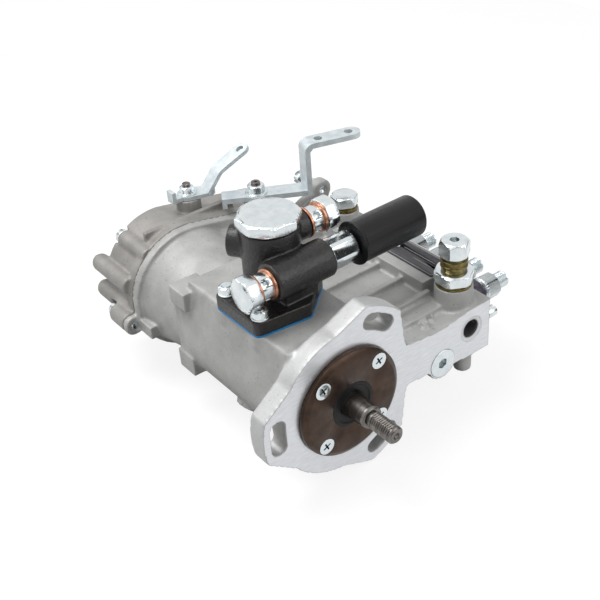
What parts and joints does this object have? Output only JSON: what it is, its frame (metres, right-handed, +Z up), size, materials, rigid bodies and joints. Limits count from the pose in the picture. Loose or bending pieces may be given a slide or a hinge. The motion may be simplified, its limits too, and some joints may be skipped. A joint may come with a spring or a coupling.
{
  "type": "diesel injection pump",
  "caption": "In-line diesel injection pump with flange mount, cam tunnel, delivery unions, feed pump with hand primer, mechanical governor, throttle and stop levers.",
  "frame": {"origin": "on the camshaft's axis, in the plane of the mounting flange's face", "axes": "+Y along the camshaft from the drive end to the governor, +X towards the delivery unions, +Z up towards the feed pump"},
  "size_m": [0.2395, 0.289, 0.1719],
  "materials": {
    "cast_aluminium": "as-cast, shot blasted, machined faces brighter",
    "cover_casting": "as-cast, slightly browner",
    "feed_casting": "black, slight gloss over a cast grain",
    "phosphated_steel": "brown phosphate over turned steel",
    "dark_steel": "dark phosphate",
    "zinc_steel": "bright zinc plate",
    "turned_steel": "turned and ground",
    "hardened_steel": "ground",
    "spring_steel": "oiled wire",
    "copper": "soft copper sheet, satin",
    "olive_chromate": "olive chromate",
    "seal_rubber": "satin",
    "blue_gasket": "coated paper",
    "grey_gasket": "paper",
    "plate_black": "satin black print on thin sheet",
    "handle_plastic": "satin moulded plastic"
  },
  "bodies": {
    "housing": {"pump_housing": "cast_aluminium", "bearing_cover": "phosphated_steel", "bearing_cover_screws": "zinc_steel", "shaft_seal": "seal_rubber", "bearing_outer_rings": "hardened_steel", "tappets": "hardened_steel", "tappet_rollers": "hardened_steel", "plunger_springs": "spring_steel", "spring_seats": "hardened_steel", "pump_barrels": "hardened_steel", "rack_plug": "zinc_steel", "delivery_collars": "dark_steel", "delivery_valves": "hardened_steel", "delivery_springs": "spring_steel", "delivery_unions": "zinc_steel", "bleed_screw": "zinc_steel", "rating_plate": "plate_black", "plate_rivets": "zinc_steel", "overflow_valve_body": "olive_chromate", "overflow_valve_nut": "zinc_steel", "overflow_valve_cap": "zinc_steel", "sealing_washers": "olive_chromate", "gallery_plug": "zinc_steel", "governor_gasket": "grey_gasket", "governor_cover": "cover_casting", "governor_screws": "zinc_steel", "speed_screw": "zinc_steel", "speed_screw_nut": "zinc_steel", "feed_pump_gasket": "blue_gasket", "feed_pump_body": "feed_casting", "feed_pump_studs": "zinc_steel", "feed_pump_nuts": "zinc_steel", "feed_tappet": "turned_steel", "feed_piston": "turned_steel", "feed_spring": "spring_steel", "feed_cap_seal": "copper", "feed_pump_cap": "zinc_steel", "banjo_bolts": "zinc_steel", "banjo_washers": "copper", "banjo_spacers": "zinc_steel", "primer_gland": "zinc_steel"},
    "camshaft": {"camshaft": "turned_steel", "bearing_inner_rings": "hardened_steel", "bearing_balls": "hardened_steel", "flyweight_carrier": "turned_steel"},
    "weight_a": {"flyweight_a": "hardened_steel"},
    "weight_b": {"flyweight_b": "hardened_steel"},
    "sleeve": {"governor_sleeve": "turned_steel"},
    "rack": {"control_rack": "turned_steel"},
    "plunger_1": {"plunger_set_1": "hardened_steel"},
    "plunger_2": {"plunger_set_2": "hardened_steel"},
    "plunger_3": {"plunger_set_3": "hardened_steel"},
    "plunger_4": {"plunger_set_4": "hardened_steel"},
    "throttle": {"throttle_shaft": "turned_steel", "throttle_lever": "zinc_steel", "throttle_nut": "zinc_steel"},
    "stop": {"stop_shaft": "turned_steel", "stop_lever": "zinc_steel", "stop_nut": "zinc_steel"},
    "primer": {"primer_handle": "handle_plastic"}
  },
  "joints": [
    {"name": "camshaft_spin", "type": "hinge", "parent": "housing", "child": "camshaft", "pos_m": [0, 0, 0], "axis": [0, 1, 0], "continuous": true},
    {"name": "weight_a_swing", "type": "hinge", "parent": "camshaft", "child": "weight_a", "pos_m": [0, 0.15, 0.016], "axis": [1, 0, 0], "range_deg": [0, 25], "stiffness_Nm_per_rad": 0.0156},
    {"name": "weight_b_swing", "type": "hinge", "parent": "camshaft", "child": "weight_b", "pos_m": [0, 0.15, -0.016], "axis": [-1, 0, 0], "range_deg": [0, 25]},
    {"name": "sleeve_slide", "type": "slide", "parent": "camshaft", "child": "sleeve", "axis": [0, 1, 0], "range_m": [0, 0.00315]},
    {"name": "rack_slide", "type": "slide", "parent": "housing", "child": "rack", "axis": [0, 1, 0], "range_m": [0, 0.008]},
    {"name": "plunger_1_turn", "type": "hinge", "parent": "housing", "child": "plunger_1", "pos_m": [0.09, 0.029, 0], "axis": [1, 0, 0], "range_deg": [0, 38.5]},
    {"name": "plunger_2_turn", "type": "hinge", "parent": "housing", "child": "plunger_2", "pos_m": [0.09, 0.054, 0], "axis": [1, 0, 0], "range_deg": [0, 38.5]},
    {"name": "plunger_3_turn", "type": "hinge", "parent": "housing", "child": "plunger_3", "pos_m": [0.09, 0.079, 0], "axis": [1, 0, 0], "range_deg": [0, 38.5]},
    {"name": "plunger_4_turn", "type": "hinge", "parent": "housing", "child": "plunger_4", "pos_m": [0.09, 0.104, 0], "axis": [1, 0, 0], "range_deg": [0, 38.5]},
    {"name": "throttle_turn", "type": "hinge", "parent": "housing", "child": "throttle", "pos_m": [0.061, 0.175, 0.055], "axis": [0, 0, 1], "range_deg": [0, 40]},
    {"name": "stop_turn", "type": "hinge", "parent": "housing", "child": "stop", "pos_m": [0.023, 0.211, 0.055], "axis": [0, 0, 1], "range_deg": [0, 40]},
    {"name": "primer_slide", "type": "slide", "parent": "housing", "child": "primer", "axis": [1, 0, 0], "range_m": [0, 0.018]}
  ],
  "couplings": [
    {"joint": "weight_b_swing", "follows": "weight_a_swing", "ratio": 1},
    {"joint": "sleeve_slide", "follows": "weight_a_swing", "m_per_rad": 0.0072},
    {"joint": "rack_slide", "follows": "stop_turn", "m_per_rad": 0.0114},
    {"joint": "plunger_1_turn", "follows": "stop_turn", "ratio": 0.95},
    {"joint": "plunger_2_turn", "follows": "stop_turn", "ratio": 0.95},
    {"joint": "plunger_3_turn", "follows": "stop_turn", "ratio": 0.95},
    {"joint": "plunger_4_turn", "follows": "stop_turn", "ratio": 0.95}
  ]
}
